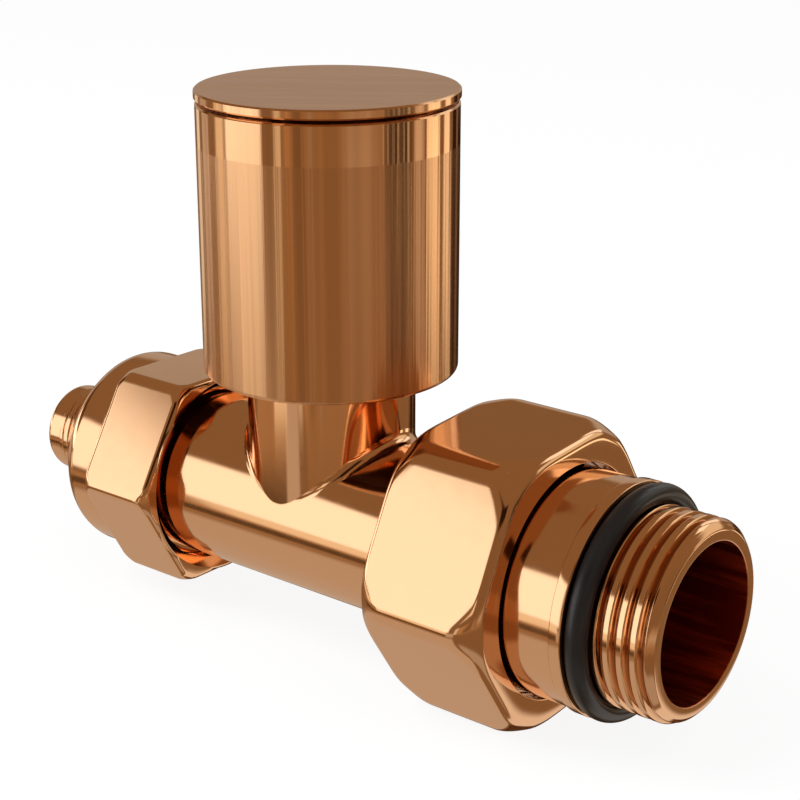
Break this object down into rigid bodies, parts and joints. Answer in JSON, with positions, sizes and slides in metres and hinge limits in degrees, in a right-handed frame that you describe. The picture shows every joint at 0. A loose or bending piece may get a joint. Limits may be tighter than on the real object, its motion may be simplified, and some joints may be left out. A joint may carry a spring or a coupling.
{
  "type": "manual radiator valve",
  "caption": "Straight manual radiator valve with a turning round handle, a union nut and tail for the radiator, and a compression nut with insert for the pipe.",
  "frame": {"origin": "on the flow axis, where the radiator thread of the tail begins", "axes": "+X along the flow axis into the radiator, +Z parallel to the spindle, towards the handle"},
  "size_m": [0.0902, 0.0336, 0.0626],
  "materials": {
    "polished_copper_plate": "polished copper plating on brass",
    "brushed_copper_plate": "fine turned and brushed copper plating on brass",
    "raw_brass": "machined brass",
    "steel": "bright spring and screw steel",
    "black_rubber": "black sealing rubber",
    "fibre": "pressed fibre sealing board",
    "hub_plastic": "moulded plastic"
  },
  "bodies": {
    "body": {"valve_body": "polished_copper_plate", "bonnet": "raw_brass", "bonnet_washer": "fibre", "union_ring": "steel", "union_tail": "polished_copper_plate", "tail_seal": "black_rubber", "union_seal": "fibre", "clamp_ring": "raw_brass", "pipe_insert": "polished_copper_plate", "insert_seal": "black_rubber"},
    "handle": {"handle_sleeve": "brushed_copper_plate", "handle_cap": "brushed_copper_plate", "handle_hub": "hub_plastic", "handle_screw": "steel", "handle_screw_washer": "steel", "spindle": "raw_brass", "spindle_seal_lower": "black_rubber", "spindle_seal_upper": "black_rubber", "spindle_clip": "steel", "thrust_washer": "steel"},
    "plug": {"valve_plug": "raw_brass", "seat_washer": "black_rubber", "seat_washer_screw": "steel"},
    "union_nut": {"union_nut": "polished_copper_plate"},
    "compression_nut": {"compression_nut": "polished_copper_plate"}
  },
  "joints": [
    {"name": "handle_turn", "type": "hinge", "parent": "body", "child": "handle", "pos_m": [-0.04135, 0, 0.03], "axis": [0, 0, 1], "range_deg": [-1080, 0]},
    {"name": "plug_slide", "type": "slide", "parent": "body", "child": "plug", "axis": [0, 0, 1], "range_m": [-0.0045, 0]},
    {"name": "union_nut_turn", "type": "hinge", "parent": "body", "child": "union_nut", "pos_m": [-0.01695, 0, 0], "axis": [1, 0, 0], "continuous": true},
    {"name": "compression_nut_turn", "type": "hinge", "parent": "body", "child": "compression_nut", "pos_m": [-0.06535, 0, 0], "axis": [1, 0, 0], "continuous": true}
  ],
  "couplings": [
    {"joint": "plug_slide", "follows": "handle_turn", "m_per_rad": 0.00023873}
  ]
}
